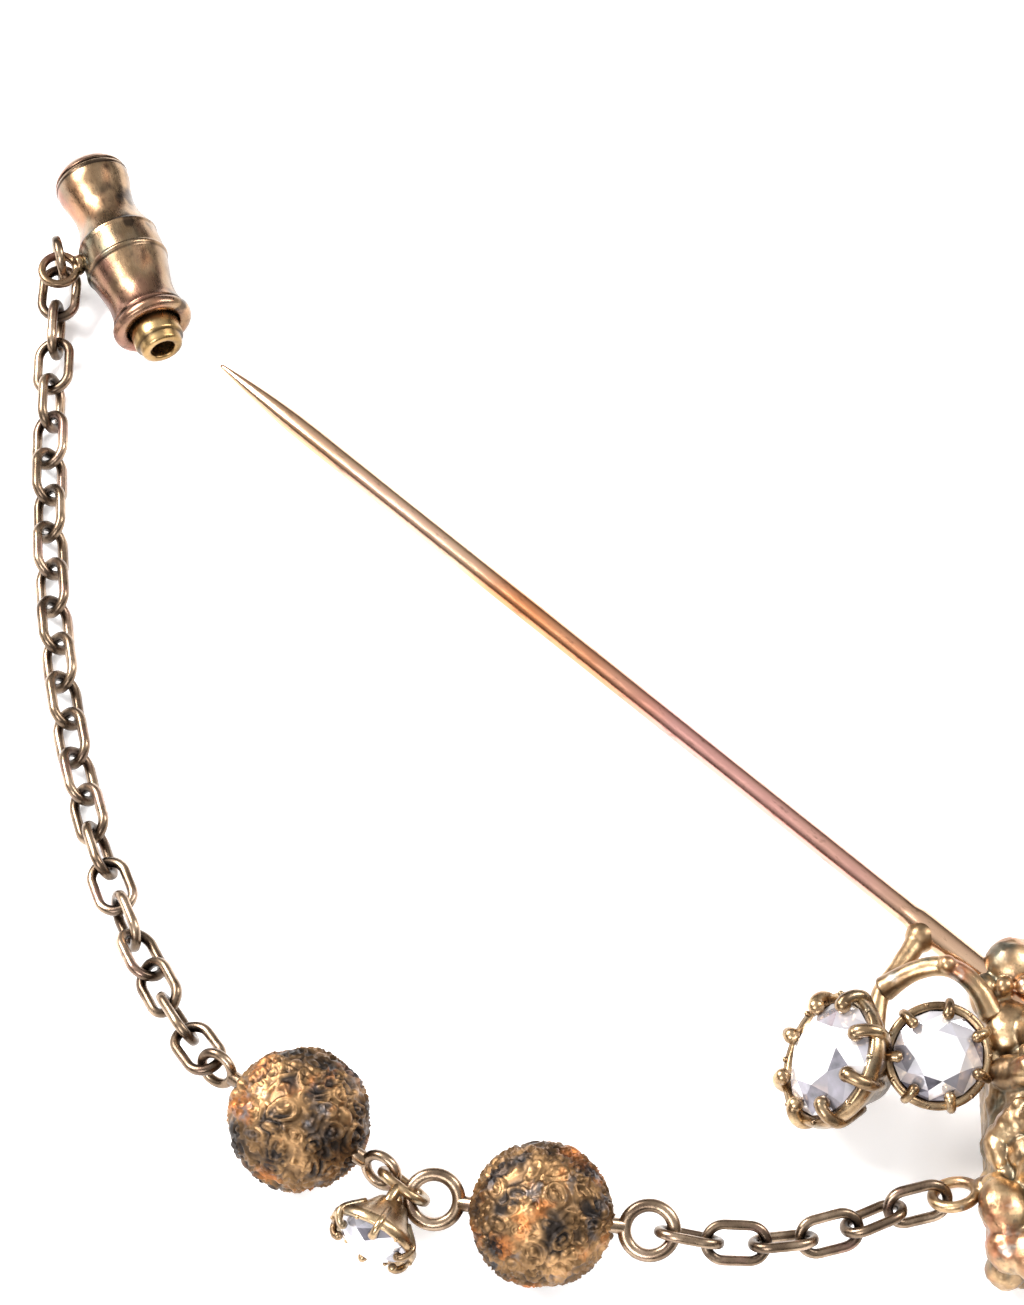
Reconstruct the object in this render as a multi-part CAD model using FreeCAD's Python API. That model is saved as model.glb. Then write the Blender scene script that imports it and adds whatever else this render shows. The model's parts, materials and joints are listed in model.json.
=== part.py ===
import FreeCAD, Part
import math
import os

# A short hat pin with a safety guard on a chain.
# Frame: the origin is on the axis of the pin wire, where the wire enters the head.
# +X runs along the wire from its point to the head, and +Z is up when the pin lies flat.
# All lengths are in millimetres and all angles in degrees.

Vector = FreeCAD.Vector
UP = Vector(0, 0, 1)

# The surface that the pin lies on, below the pin's axis.
REST_Z = -3.75

# Pin wire
PIN_LENGTH = 53.5
PIN_RADIUS = 0.6
PIN_TIP_RADIUS = 0.1
PIN_TAPER = 6.7
PIN_ROOT = 6.0
# The wire is a little thicker where it is soldered, from here back into the head
PIN_COLLAR_RADIUS = 0.85
PIN_COLLAR_START = -3.9

# Cable chain link: an oval of round wire
LINK_LENGTH = 3.6
LINK_WIDTH = 2.35
LINK_WIRE = 0.27
CHAIN_GAP = 0.162

# Short run of chain, from the head to the large-looped bead
SHORT_LINKS = 6
SHORT_FIRST_HEADING = 237.0
SHORT_HEADING = 255.2
SHORT_TURN = -8.3
SHORT_SLOPE = -3.5
SHORT_RISE = 1.8
SHORT_ROLL = 126
SHORT_TWIST = -86

# Long run of chain, from the other bead to the guard
LONG_LINKS = 22
LONG_HEADING = 163.9
LONG_TURN = -1.58
LONG_BEND = -0.045
LONG_DROP_LINKS = 8
LONG_DROP_SLOPE = -15.1
LONG_TWISTED_LINKS = 7
LONG_TWIST = 19
LONG_END_LINKS = 5
LONG_END_TWIST = 9
LONG_END_SLOPE = 2.2

# Beads: hollow balls that turn on a wire with a loop at each end, with sunk windows between their ornament
BEAD_RADIUS = 3.75
BEAD_WALL = 0.55
BEAD_BORE = 0.45
BEAD_PIN_WIRE = 0.4
BEAD_WINDOW = 0.72
BEAD_WINDOW_DEPTH = 0.3
BEAD_SEAM_TURN = 148
BEAD_WINDOW_ROWS = ((0, 9), (40, 7), (-40, 7))
SMALL_LOOP_WIRE = 0.3
# Bead loops: centre-line radius, wire radius, and distance from the bead's centre
LARGE_LOOP = (1.25, 0.35, 5.42)
SMALL_LOOP = (0.9, SMALL_LOOP_WIRE, 5.05)
BEAD_2_HEADING = 214.1
BEAD_2_ROLL = -31
BEAD_1_HEADING = 188.8
BEAD_1_ROLL = 112

# Stone station between the beads
STATION_LINK_LENGTH = 3.2
STATION_LINK_WIDTH = 2.3
STATION_HEADING = 183.1
STATION_ROLL = 59
STATION_STONE = 1.95
STATION_STONE_OFFSET = (-1.5, -2.75, -0.1)
STATION_POST = 0.28
STATION_POST_LENGTH = 1.6

# Head: the long axis of the casting is HEAD_TURN from +X
HEAD_TURN = 133.1
HEAD_CENTRE = Vector(9.7, -2.4, 0)
HEAD_HALF_LENGTH = 8.2
HEAD_HALF_WIDTH = 4.9
HEAD_CORNER = 2.0
HEAD_SIDE_LOBES = 5
HEAD_LOBE_RADIUS = 1.85
HEAD_LOBE_Z = 0.3
HEAD_TOP_Z = 0.6
HEAD_DOME_RADIUS = 5.5
HEAD_DOME_SPAN = 3.2
HEAD_DOME_Z = -2.3
HEAD_POCKET_TOP_Z = -1.1
HEAD_WALL = 0.9
BACK_PLATE = 0.6

# Stones on the head: girdle radius, girdle centre and facing, along the casting's own axes
# (across to the right, along its length, up) from the centre of the head
FRONT_STONE = 2.3
FRONT_STONE_AT = (-7.35, 2.2, 1.6)
FRONT_STONE_FACES = (0.05, -0.45, 0.88)
SIDE_STONE = 3.0
SIDE_STONE_AT = (-12.65, 2.35, 0.9)
SIDE_STONE_FACES = (-0.78, 0.0, 0.62)
CENTRE_STONE = 2.9
CENTRE_STONE_AT = (0.6, 0.3, 4.3)
CENTRE_STONE_FACES = (0, 0, 1)

# Wires between the pin, the stone cups and the casting: points on their centre lines
STRUT_WIRE = 0.45
STRUT = (
    Vector(-2.8, -0.3, 0),
    Vector(-2.35, -2.85, 0),
    Vector(-2.0, -4.6, 0),
    Vector(-0.7, -6.4, -0.4),
    Vector(0.7, -7.8, -0.9),
)
ARCH_WIRE = 0.4
ARCH = (
    Vector(-2.1, -4.2, 0.1),
    Vector(-1.4, -2.9, 1.1),
    Vector(-0.45, -1.9, 1.6),
    Vector(0.7, -1.5, 1.7),
    Vector(2.0, -1.6, 1.5),
    Vector(3.2, -2.0, 1.0),
)

# Eye on the head that the chain hangs from
CHAIN_EYE = 1.1
CHAIN_EYE_WIRE = 0.3
CHAIN_EYE_AT = Vector(7.98, -10.34, -0.19)
CHAIN_EYE_BOSS = 0.95
CHAIN_EYE_BOSS_AT = Vector(8.93, -9.12, -0.19)

# Last link, hooked up over the guard's eye
GUARD_LINK_HEADING = 146
GUARD_LINK_SLOPE = 60
GUARD_LINK_ROLL = 90
GUARD_LINK_SLACK = 0.7
GUARD_LINK_LENGTH = 3.0

# Guard: a turned barrel with a sprung nozzle that grips the pin's point with three balls.
# Stations are measured from the barrel's capped end toward its mouth.
GUARD_HEADING = -25.7
GUARD_EYE = 0.95
GUARD_EYE_WIRE = 0.24
GUARD_EYE_TURN = -45
GUARD_EYE_DISTANCE = 3.6
GUARD_EYE_STATION = 5.1
BAND_RADIUS = 2.36
GUARD_CAVITY = 1.3
GUARD_CAVITY_START = 0.7
GUARD_MOUTH = 10.7
GUARD_END = 12.2
MOUTH_BORE = 1.5
MOUTH_START = 9.0
NOZZLE_HEAD = 1.375
NOZZLE_SHOULDER = 9.9
NOZZLE_TUBE = 0.95
NOZZLE_START = 5.2
NOZZLE_BORE = 0.675
SEAT_START = 5.8
SEAT_CONE = 1.2
SEAT_CONE_END = 7.6
SEAT_BORE = 1.0
BALL_RADIUS = 0.25
BALL_ORBIT = 0.88
BALL_STATION = 6.4
BALL_HOLE = 0.29
SPRING_RADIUS = 1.1
SPRING_WIRE = 0.17
SPRING_PITCH = 0.75


def heading_vector(heading, slope=0):
    """A unit vector at a heading about +Z and a slope above the horizontal."""
    a = math.radians(heading)
    s = math.radians(slope)
    return Vector(math.cos(a) * math.cos(s), math.sin(a) * math.cos(s), math.sin(s))


def posed(shape, centre, x_axis, z_axis):
    """A copy of a shape, moved so that its own X and Z lie along two given axes."""
    x = Vector(x_axis).normalize()
    z = Vector(z_axis)
    z = (z - x * z.dot(x)).normalize()
    turn = FreeCAD.Rotation(x, z.cross(x), z, "XZY")
    out = shape.copy()
    out.Placement = FreeCAD.Placement(centre, turn)
    return out


def facing(shape, centre, z_axis):
    """A copy of a turned shape, moved so that its own Z lies along a given axis."""
    z = Vector(z_axis).normalize()
    side = Vector(1, 0, 0) if abs(z.x) < 0.9 else Vector(0, 1, 0)
    return posed(shape, centre, side - z * side.dot(z), z)


def roll_normal(direction, roll):
    """The normal of a link that runs along direction, turned by roll from the vertical."""
    side = direction.cross(UP).normalize()
    top = side.cross(direction)
    a = math.radians(roll)
    return top * math.cos(a) + side * math.sin(a)


def turned(outline):
    """The solid of revolution about Z of a closed outline of (radius, height) points."""
    points = [Vector(r, 0, z) for r, z in outline]
    face = Part.Face(Part.makePolygon(points + points[:1]))
    return face.revolve(Vector(), UP, 360)


def fused(shapes):
    out = shapes[0].fuse(shapes[1:])
    return out.removeSplitter()


def lathe(curves, corners):
    """The solid of revolution about Z of curves in the XZ plane, closed by straight lines."""
    points = [Vector(r, 0, z) for r, z in corners]
    lines = [Part.makeLine(a, b) for a, b in zip(points, points[1:])]
    return Part.Face(Part.Wire(curves + lines)).revolve(Vector(), UP, 360)


def clear_of(shape, others):
    """A shape cut clear of others, as one solid: loose scraps are dropped."""
    for other in others:
        shape = shape.cut(other)
    return max(shape.Solids, key=lambda solid: solid.Volume)


def wire_run(points, radius):
    """Round wire along straight runs with ball joints at the bends."""
    pieces = [Part.makeSphere(radius, points[0])]
    for a, b in zip(points, points[1:]):
        pieces.append(Part.makeCylinder(radius, (b - a).Length, a, b - a))
        pieces.append(Part.makeSphere(radius, b))
    return fused(pieces)


def oval_ring(length, width, wire):
    """A closed oval of round wire in its own XY plane, long along X."""
    bend = width / 2 - wire
    half = length / 2 - wire - bend
    pieces = []
    for sign in (-1, 1):
        end = Part.makeTorus(bend, wire, Vector(0, 0, 0), UP, 0, 360, 180)
        end.rotate(Vector(), UP, -90 * sign)
        end.translate(Vector(sign * half, 0, 0))
        pieces.append(end)
        if half > 0.01:
            side = Part.makeCylinder(wire, 2 * half, Vector(-half, sign * bend, 0), Vector(1, 0, 0))
            pieces.append(side)
    return fused(pieces)


def axial_sphere(radius):
    """A sphere with its poles on the X axis and its seam between the bead's windows."""
    ball = Part.makeSphere(radius)
    ball.rotate(Vector(), Vector(0, 1, 0), 90)
    ball.rotate(Vector(), Vector(1, 0, 0), BEAD_SEAM_TURN)
    return ball


def bead_shell():
    """A hollow ball, bored along X for its wire, with round windows sunk into it all over."""
    along = Vector(1, 0, 0)
    ball = axial_sphere(BEAD_RADIUS)
    for latitude, count in BEAD_WINDOW_ROWS:
        a = math.radians(latitude)
        for k in range(count):
            b = 2 * math.pi * (k + (0.5 if latitude else 0)) / count
            out = Vector(math.sin(a), math.cos(a) * math.cos(b), math.cos(a) * math.sin(b))
            ball = ball.cut(Part.makeCylinder(BEAD_WINDOW, BEAD_RADIUS, out * (BEAD_RADIUS - BEAD_WINDOW_DEPTH), out))
    ball = ball.cut(axial_sphere(BEAD_RADIUS - BEAD_WALL))
    return ball.cut(Part.makeCylinder(BEAD_BORE, 4 * BEAD_RADIUS, along * (-2 * BEAD_RADIUS), along))


def bead_pin(loop, loop_wire, offset):
    """The wire through a bead along X, with a closed loop at each end."""
    half = offset - loop
    pieces = [Part.makeCylinder(BEAD_PIN_WIRE, 2 * half, Vector(-half, 0, 0), Vector(1, 0, 0))]
    for sign in (-1, 1):
        pieces.append(Part.makeTorus(loop, loop_wire, Vector(sign * offset, 0, 0), UP))
    return fused(pieces)


def stone(radius):
    """A brilliant-cut stone, turned about Z with its girdle at height 0."""
    r = radius
    return turned([(0, 0.4 * r), (0.58 * r, 0.4 * r), (r, 0.05 * r), (r, -0.05 * r), (0, -0.8 * r)])


def claw_cup(radius, claws):
    """A pierced conical cup with claws that hold a stone of the given girdle radius."""
    r = radius
    wall = 0.14 * r + 0.12
    base = -1.05 * r
    cup = turned([(0, base), (0.42 * r, base), (r + wall, -0.12 * r), (r + wall, 0.1 * r), (0, 0.1 * r)])
    cup = cup.cut(turned([(0, base + 0.25 * r), (0.2 * r, base + 0.25 * r), (0.9 * r, 0), (0, 0)]))
    holes = []
    prongs = []
    for k in range(claws):
        a = 2 * math.pi * (k + 0.3) / claws
        out = Vector(math.cos(a), math.sin(a), 0)
        foot = out * (r + 0.52 * wall) + UP * (-0.16 * r)
        tip = out * (0.98 * r) + UP * (0.25 * r)
        prongs.append(wire_run([foot, tip], 0.63 * wall))
        b = a + math.pi / claws
        notch = Vector(math.cos(b), math.sin(b), 0)
        holes.append(Part.makeCylinder(0.17 * r, 2 * r, notch * (0.35 * r) + UP * (-0.48 * r), notch))
    return clear_of(fused([cup.cut(holes)] + prongs), [stone(r)])


def cup_body(radius):
    """The space that a claw cup fills, as a plain solid, to keep its neighbours clear of it."""
    r = radius
    wall = 0.14 * r + 0.12
    return turned([(0, -1.05 * r), (0.42 * r, -1.05 * r), (r + wall, -0.12 * r), (r + wall, 0.1 * r), (0, 0.4 * r)])


def head_axes():
    along = heading_vector(HEAD_TURN)
    return along.cross(UP), along, UP


def head_point(offset):
    across, along, up = head_axes()
    return HEAD_CENTRE + across * offset[0] + along * offset[1] + up * offset[2]


def head_direction(offset):
    across, along, up = head_axes()
    return across * offset[0] + along * offset[1] + up * offset[2]


def head_block(half_length, half_width, corner, low, high):
    """A straight block on the head's own axes, with rounded upright corners."""
    block = Part.makeBox(2 * half_length, 2 * half_width, high - low, Vector(-half_length, -half_width, 0))
    upright = [edge for edge in block.Edges if abs(edge.tangentAt(edge.FirstParameter).z) > 0.9]
    block = block.makeFillet(corner, upright)
    across, along, up = head_axes()
    return posed(block, HEAD_CENTRE + up * low, along, up)


def head_casting():
    """The foliate casting: a hollow cushion with rounded lobes all round it and a domed middle."""
    across, along, up = head_axes()
    pieces = [head_block(HEAD_HALF_LENGTH, HEAD_HALF_WIDTH, HEAD_CORNER, REST_Z, HEAD_TOP_Z)]
    side_step = 2 * HEAD_HALF_LENGTH / (HEAD_SIDE_LOBES - 1)
    lobes = []
    for sign in (-1, 1):
        for k in range(HEAD_SIDE_LOBES):
            lobes.append((sign * HEAD_HALF_WIDTH, -HEAD_HALF_LENGTH + k * side_step))
        lobes.append((0, sign * HEAD_HALF_LENGTH))
    for x, y in lobes:
        pieces.append(Part.makeSphere(HEAD_LOBE_RADIUS, head_point((0.93 * x, 0.95 * y, HEAD_LOBE_Z))))
    foot = head_point((0, -HEAD_DOME_SPAN, HEAD_DOME_Z))
    dome = [Part.makeCylinder(HEAD_DOME_RADIUS, 2 * HEAD_DOME_SPAN, foot, along)]
    for sign in (-1, 1):
        dome.append(Part.makeSphere(HEAD_DOME_RADIUS, head_point((0, sign * HEAD_DOME_SPAN, HEAD_DOME_Z))))
    above = Part.makeBox(40, 40, 20, HEAD_CENTRE + Vector(-20, -20, -0.4))
    body = fused(pieces + [fused(dome).common(above)])
    pocket = head_block(
        HEAD_HALF_LENGTH - HEAD_WALL, HEAD_HALF_WIDTH - HEAD_WALL, HEAD_CORNER - HEAD_WALL,
        REST_Z - 1, HEAD_POCKET_TOP_Z,
    )
    return body.cut(pocket)


def back_plate():
    """The sheet that closes the casting's hollow back, pierced by three round holes."""
    plate = head_block(
        HEAD_HALF_LENGTH - HEAD_WALL, HEAD_HALF_WIDTH - HEAD_WALL, HEAD_CORNER - HEAD_WALL,
        REST_Z, REST_Z + BACK_PLATE,
    )
    step = 0.42 * HEAD_HALF_LENGTH
    holes = [Part.makeCylinder(1.1, 4, head_point((0, k * step, REST_Z - 1)), UP) for k in (-1, 0, 1)]
    return plate.cut(holes)


def pin_wire():
    """The pin: a straight round wire, drawn to a point with a slim curved taper."""
    middle = (0.4 * PIN_TAPER, 0.83 * PIN_RADIUS)
    taper = Part.Arc(
        Vector(PIN_TIP_RADIUS, 0, 0), Vector(middle[1], 0, middle[0]), Vector(PIN_RADIUS, 0, PIN_TAPER)
    ).toShape()
    end = PIN_LENGTH + PIN_ROOT
    corners = [
        Vector(PIN_RADIUS, 0, PIN_TAPER),
        Vector(PIN_RADIUS, 0, end),
        Vector(0, 0, end),
        Vector(0, 0, 0),
        Vector(PIN_TIP_RADIUS, 0, 0),
    ]
    edges = [Part.makeLine(a, b) for a, b in zip(corners, corners[1:])]
    face = Part.Face(Part.Wire([taper] + edges))
    collar = Part.makeCylinder(PIN_COLLAR_RADIUS, PIN_ROOT - PIN_COLLAR_START, UP * (PIN_LENGTH + PIN_COLLAR_START))
    wire = face.revolve(Vector(), UP, 360).fuse(collar)
    return posed(wire, Vector(-PIN_LENGTH, 0, 0), Vector(0, 0, 1), Vector(1, 0, 0))


def spring_coil():
    """The guard's compression spring, along Z from the cavity's blind end to the nozzle tube.

    Each half turn is half a ring, tilted so that its ends meet the next ones squarely.
    """
    low = GUARD_CAVITY_START + SPRING_WIRE + 0.06
    high = NOZZLE_START - SPRING_WIRE - 0.06
    halves = 2 * round((high - low) / SPRING_PITCH)
    rise = (high - low) / halves
    ring = math.hypot(SPRING_RADIUS, rise / 2)
    tilt = math.degrees(math.atan2(rise / 2, SPRING_RADIUS))
    pieces = []
    for k in range(halves):
        arc = Part.makeTorus(ring, SPRING_WIRE, Vector(), UP, 0, 360, 180)
        arc.rotate(Vector(), Vector(0, 1, 0), tilt)
        arc.rotate(Vector(), UP, 180 * (k % 2))
        arc.translate(UP * (low + (k + 0.5) * rise))
        pieces.append(arc)
    return fused(pieces)


def barrel():
    """The guard's barrel: a double-waisted turned tube with a raised middle band."""
    outline = [
        (2.02, 0.0), (2.1, 0.3), (2.06, 0.8), (1.74, 2.3), (1.84, 3.4), (2.18, 4.4), (2.28, 4.6),
        (2.31, 5.5), (2.34, 6.25), (2.27, 6.6), (2.1, 7.4), (1.86, 8.5), (1.95, 9.5), (2.17, 10.0), (2.22, 10.4),
    ]
    skin = Part.BSplineCurve()
    skin.interpolate([Vector(r, 0, z) for r, z in outline])
    corners = [
        (2.22, 10.4), (2.06, GUARD_MOUTH), (MOUTH_BORE, GUARD_MOUTH), (MOUTH_BORE, MOUTH_START),
        (GUARD_CAVITY, MOUTH_START), (GUARD_CAVITY, 0), outline[0],
    ]
    return lathe([skin.toShape()], corners)


def barrel_cap():
    """The low domed cap that closes the barrel, with a plug inside it."""
    rim = 2.02
    flat = 0.25
    rise = 1.25
    edge = -0.12
    dome = Part.Arc(Vector(rim, 0, edge), Vector(0.62 * rim, 0, -0.74 * rise), Vector(flat, 0, -rise))
    corners = [
        (flat, -rise), (0, -rise), (0, GUARD_CAVITY_START), (GUARD_CAVITY, GUARD_CAVITY_START),
        (GUARD_CAVITY, 0), (rim, 0), (rim, edge),
    ]
    return lathe([dome.toShape()], corners)


def seat():
    """The tapered seat inside the mouth: its cone squeezes the balls, its bore guides the nozzle."""
    return turned([
        (SEAT_CONE, SEAT_START),
        (GUARD_CAVITY, SEAT_START),
        (GUARD_CAVITY, MOUTH_START),
        (SEAT_BORE, MOUTH_START),
        (SEAT_BORE, SEAT_CONE_END),
    ])


def nozzle():
    """The sliding nozzle: a bored tube with a stepped head, and three holes for the balls."""
    body = turned([
        (NOZZLE_BORE, NOZZLE_START),
        (NOZZLE_TUBE, NOZZLE_START),
        (NOZZLE_TUBE, NOZZLE_SHOULDER),
        (NOZZLE_HEAD, NOZZLE_SHOULDER),
        (NOZZLE_HEAD, GUARD_END - 0.35),
        (1.05, GUARD_END),
        (NOZZLE_BORE, GUARD_END),
    ])
    holes = []
    for at in ball_centres():
        holes.append(Part.makeCylinder(BALL_HOLE, 2, UP * BALL_STATION, Vector(at.x, at.y, 0)))
    return body.cut(holes)


def ball_centres():
    angles = [math.radians(30 + 120 * k) for k in range(3)]
    return [Vector(BALL_ORBIT * math.cos(a), BALL_ORBIT * math.sin(a), BALL_STATION) for a in angles]


def balls():
    return Part.makeCompound([Part.makeSphere(BALL_RADIUS, at) for at in ball_centres()])


def guard_eye(axis, toward_eye):
    """The soldered eye on the guard's band: a flat ring on a short solder post."""
    band = axis + toward_eye * BAND_RADIUS
    centre = axis + toward_eye * GUARD_EYE_DISTANCE
    ring = Part.makeTorus(GUARD_EYE, GUARD_EYE_WIRE, centre, UP)
    post = Part.makeCylinder(0.45, 0.5, band - toward_eye * 0.25, toward_eye)
    hole = Part.makeCylinder(GUARD_EYE - GUARD_EYE_WIRE, 2, centre - UP, UP)
    return fused([ring, post.cut(hole)])


def save(name, shape):
    shape.exportStep(os.path.join("parts", name + ".step"))


class Chain:
    """Pieces hung one from the next, with the point where each pair of wires meets."""

    def __init__(self, start):
        self.at = start
        self.hinges = []

    def hang(self, half, wire, direction):
        """Advance past one ring of a given centre-line half length, and return its centre."""
        self.hinges.append(self.at)
        step = direction * (half - wire - CHAIN_GAP / 2)
        centre = self.at + step
        self.at = centre + step
        return centre

    def thread(self, loop, wire, offset, direction):
        """Advance past a bead on its wire, and return the bead's centre."""
        self.hinges.append(self.at)
        step = direction * (loop - wire - CHAIN_GAP / 2 + offset)
        centre = self.at + step
        self.at = centre + step
        return centre


def hang_link(chain, direction, roll, length=LINK_LENGTH):
    """One more link at the end of the chain, lying along direction."""
    centre = chain.hang(length / 2 - LINK_WIRE, LINK_WIRE, direction)
    ring = oval_ring(length, LINK_WIDTH, LINK_WIRE)
    return posed(ring, centre, direction, roll_normal(direction, roll))


def chain_eye(direction):
    """The ring on the head that the chain hangs from, on a rounded boss."""
    normal = roll_normal(direction, SHORT_ROLL - SHORT_TWIST)
    ring = posed(Part.makeTorus(CHAIN_EYE, CHAIN_EYE_WIRE), CHAIN_EYE_AT, direction, normal)
    bore = Part.makeCylinder(CHAIN_EYE, 6, Vector(0, 0, -3))
    boss = Part.makeSphere(CHAIN_EYE_BOSS, CHAIN_EYE_BOSS_AT)
    boss = boss.cut(posed(bore, CHAIN_EYE_AT, direction, normal))
    return fused([ring, boss])


def make_head(parts):
    parts["pin_wire"] = pin_wire()
    cups = []
    for name, radius, at, faces, claws in (
        ("front", FRONT_STONE, FRONT_STONE_AT, FRONT_STONE_FACES, 7),
        ("side", SIDE_STONE, SIDE_STONE_AT, SIDE_STONE_FACES, 8),
        ("centre", CENTRE_STONE, CENTRE_STONE_AT, CENTRE_STONE_FACES, 8),
    ):
        place = (head_point(at), head_direction(faces))
        parts[name + "_stone"] = facing(stone(radius), *place)
        parts[name + "_cup"] = facing(claw_cup(radius, claws), *place)
        cups += [parts[name + "_cup"], facing(cup_body(radius), *place)]
    parts["side_cup"] = clear_of(parts["side_cup"], cups[:2])
    strut = wire_run(STRUT, STRUT_WIRE)
    parts["stem_strut"] = clear_of(strut, [parts["pin_wire"]] + cups)
    arch = wire_run(ARCH, ARCH_WIRE)
    parts["gallery_arch"] = clear_of(arch, [parts["pin_wire"], parts["stem_strut"]] + cups)
    parts["chain_eye"] = chain_eye(short_way(0))
    fitted = [parts[name] for name in ("pin_wire", "stem_strut", "gallery_arch", "chain_eye")]
    parts["head_casting"] = clear_of(head_casting(), fitted + cups)
    parts["head_back_plate"] = back_plate()


def short_way(k):
    heading = SHORT_HEADING + k * SHORT_TURN if k else SHORT_FIRST_HEADING
    return heading_vector(heading, SHORT_SLOPE + k * SHORT_RISE)


def long_way(k):
    turn = k * LONG_TURN + k * (LONG_LINKS - 1 - k) * LONG_BEND
    slope = LONG_DROP_SLOPE * max(0, 1 - k / LONG_DROP_LINKS)
    return heading_vector(LONG_HEADING + turn, LONG_END_SLOPE if long_end(k) else slope)


def long_end(k):
    """How many links into the chain's last stretch link k is."""
    return max(0, k + 1 + LONG_END_LINKS - LONG_LINKS)


def long_roll(k):
    """Each link is a quarter turn from the last; both ends of the run twist a little further."""
    return 45 + 90 * k + LONG_TWIST * max(0, LONG_TWISTED_LINKS - k) + LONG_END_TWIST * long_end(k)


def add_bead(parts, chain, name, heading, roll, loop):
    """Thread one bead on its looped wire at the end of the chain."""
    way = heading_vector(heading)
    at = chain.thread(*loop, way)
    parts[name] = posed(bead_shell(), at, way, UP)
    parts[name + "_wire"] = posed(bead_pin(*loop), at, way, roll_normal(way, roll))


def add_station(parts, chain):
    """A link between the beads, with a claw-set stone soldered to its side."""
    way = heading_vector(STATION_HEADING)
    at = chain.hang(STATION_LINK_LENGTH / 2 - SMALL_LOOP_WIRE, SMALL_LOOP_WIRE, way)
    link = oval_ring(STATION_LINK_LENGTH, STATION_LINK_WIDTH, SMALL_LOOP_WIRE)
    link = posed(link, at, way, roll_normal(way, STATION_ROLL))
    offset = head_direction(STATION_STONE_OFFSET)
    place = (at + offset, offset)
    side = roll_normal(way, STATION_ROLL).cross(way) * (STATION_LINK_WIDTH / 2 - SMALL_LOOP_WIRE)
    posts = [Part.makeCylinder(STATION_POST, STATION_POST_LENGTH, at + side * k, offset) for k in (-1, 1)]
    cup = fused([link, facing(claw_cup(STATION_STONE, 6), *place)] + posts)
    parts["station_cup"] = clear_of(cup, [facing(stone(STATION_STONE), *place)])
    parts["station_stone"] = facing(stone(STATION_STONE), *place)


def make_chain(parts):
    """Everything from the head's eye to the guard's eye; returns the chain and its free end."""
    chain = Chain(CHAIN_EYE_AT + short_way(0) * (CHAIN_EYE - CHAIN_EYE_WIRE - CHAIN_GAP / 2))
    for k in range(SHORT_LINKS):
        link = hang_link(chain, short_way(k), SHORT_ROLL + k * SHORT_TWIST)
        parts[f"short_link_{k + 1}"] = link
    add_bead(parts, chain, "bead_2", BEAD_2_HEADING, BEAD_2_ROLL, LARGE_LOOP)
    add_station(parts, chain)
    add_bead(parts, chain, "bead_1", BEAD_1_HEADING, BEAD_1_ROLL, SMALL_LOOP)
    for k in range(LONG_LINKS):
        parts[f"long_link_{k + 1:02d}"] = hang_link(chain, long_way(k), long_roll(k))
    way = heading_vector(GUARD_LINK_HEADING, GUARD_LINK_SLOPE)
    chain.at += (long_way(LONG_LINKS - 1) - way) * (LINK_WIRE + CHAIN_GAP / 2)
    parts["guard_link"] = hang_link(chain, way, GUARD_LINK_ROLL, GUARD_LINK_LENGTH)
    chain.hinges.append(chain.at - way * GUARD_LINK_SLACK)
    return chain


def make_guard(parts, hinge):
    """The guard, hung by its eye from the end of the chain; returns its capped end and axis."""
    along = heading_vector(GUARD_HEADING)
    toward_eye = along.cross(UP)
    axis = hinge + heading_vector(GUARD_EYE_TURN) * GUARD_EYE - toward_eye * GUARD_EYE_DISTANCE
    axis.z = REST_Z + BAND_RADIUS
    start = axis - along * GUARD_EYE_STATION
    for name, shape in (
        ("guard_barrel", barrel()),
        ("guard_cap", barrel_cap()),
        ("guard_seat", seat()),
        ("guard_nozzle", nozzle()),
        ("guard_balls", balls()),
        ("guard_spring", spring_coil()),
    ):
        parts[name] = posed(shape, start, UP, along)
    parts["guard_eye"] = clear_of(guard_eye(axis, toward_eye), [parts["guard_barrel"]])
    return start, along


def main():
    os.makedirs("parts", exist_ok=True)
    parts = {}
    make_head(parts)
    chain = make_chain(parts)
    start, along = make_guard(parts, chain.hinges[-1])
    for name, shape in parts.items():
        save(name, shape)
    for k, point in enumerate(chain.hinges):
        print(f"hinge {k}: {point.x:.3f} {point.y:.3f} {point.z:.3f}")
    print("guard start", start, "along", along)


main()
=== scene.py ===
import json
import math

import bmesh
import bpy
import numpy as np
from mathutils import Matrix, Vector, noise


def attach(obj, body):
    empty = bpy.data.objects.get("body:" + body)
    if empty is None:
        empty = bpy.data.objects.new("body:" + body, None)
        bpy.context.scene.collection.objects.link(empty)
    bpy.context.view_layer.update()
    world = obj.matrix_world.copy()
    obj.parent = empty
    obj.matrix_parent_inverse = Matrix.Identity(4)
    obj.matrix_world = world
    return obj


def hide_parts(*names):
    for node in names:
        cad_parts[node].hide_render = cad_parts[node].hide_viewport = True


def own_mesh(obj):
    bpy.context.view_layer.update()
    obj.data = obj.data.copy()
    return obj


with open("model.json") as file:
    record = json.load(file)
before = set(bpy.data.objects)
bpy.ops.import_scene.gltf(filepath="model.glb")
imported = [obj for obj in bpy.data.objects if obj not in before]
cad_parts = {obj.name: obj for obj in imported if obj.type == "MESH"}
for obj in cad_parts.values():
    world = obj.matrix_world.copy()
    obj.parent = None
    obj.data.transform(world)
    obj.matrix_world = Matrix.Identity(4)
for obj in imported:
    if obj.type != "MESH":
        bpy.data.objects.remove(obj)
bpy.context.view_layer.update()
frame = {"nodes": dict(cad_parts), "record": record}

MM = 0.001
REST_Z = -3.75
UP = Vector((0, 0, 1))


# ---------------------------------------------------------------- camera and light

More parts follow.
